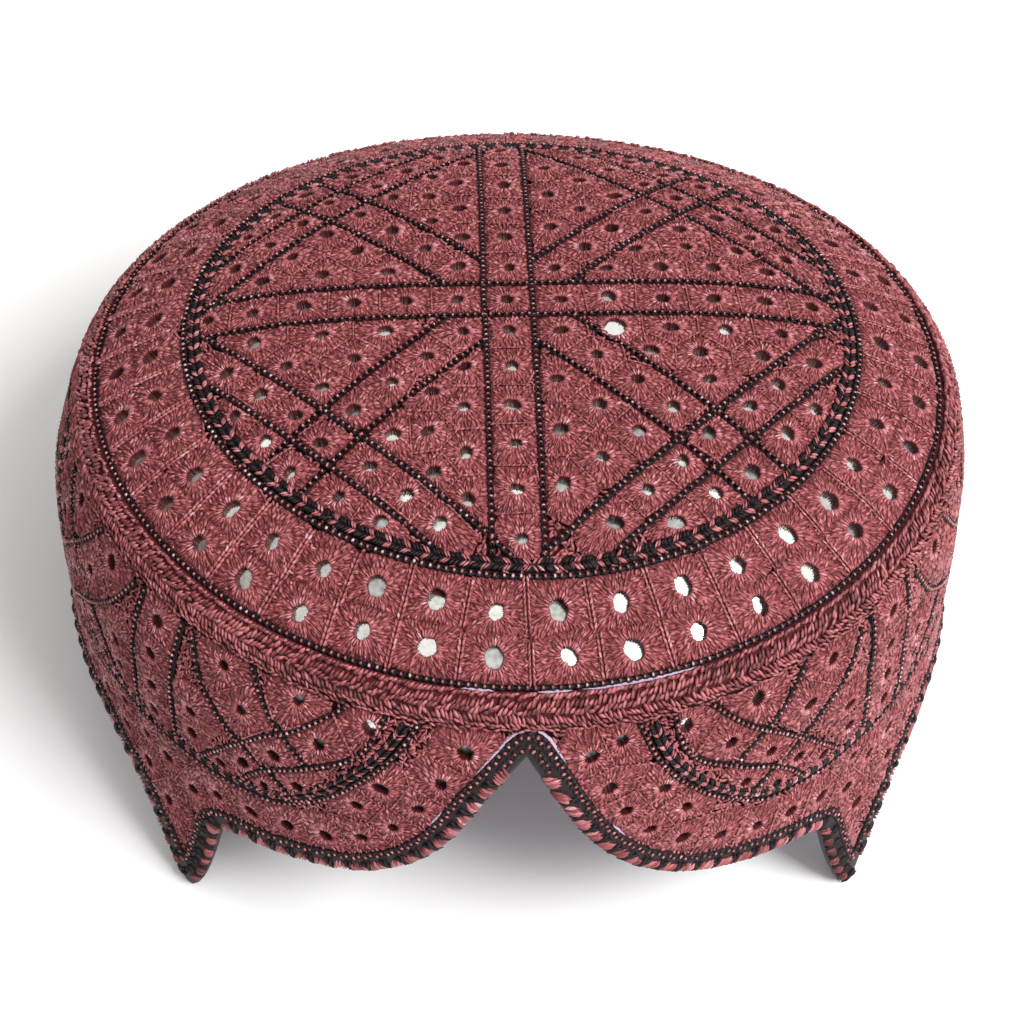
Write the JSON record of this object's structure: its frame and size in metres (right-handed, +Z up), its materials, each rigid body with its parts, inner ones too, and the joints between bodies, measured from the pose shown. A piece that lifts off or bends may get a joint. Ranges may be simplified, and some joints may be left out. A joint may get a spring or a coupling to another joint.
{
  "type": "sindhi cap",
  "caption": "Round soft embroidered cap with a domed crown, a seam braid, and a side wall arched at the front between two hanging points; its edge is bound all round.",
  "frame": {"origin": "middle of the cap's footprint on the table it rests on", "axes": "+Z up from the table, -Y towards the arched front, +X to the left of a wearer"},
  "size_m": [0.1917, 0.1826, 0.0956],
  "materials": {
    "silk_cloth": "rose maroon silk embroidery with a soft sheen",
    "braid_thread": "rose maroon silk chain stitch",
    "edging_thread": "black and rose whipped edging",
    "black_thread": "black twisted thread",
    "mirror_glass": "small worn looking glass"
  },
  "bodies": {
    "root": {"crown": "silk_cloth", "side_wall": "silk_cloth", "seam_braid": "braid_thread", "edge_binding": "edging_thread"}
  },
  "joints": []
}
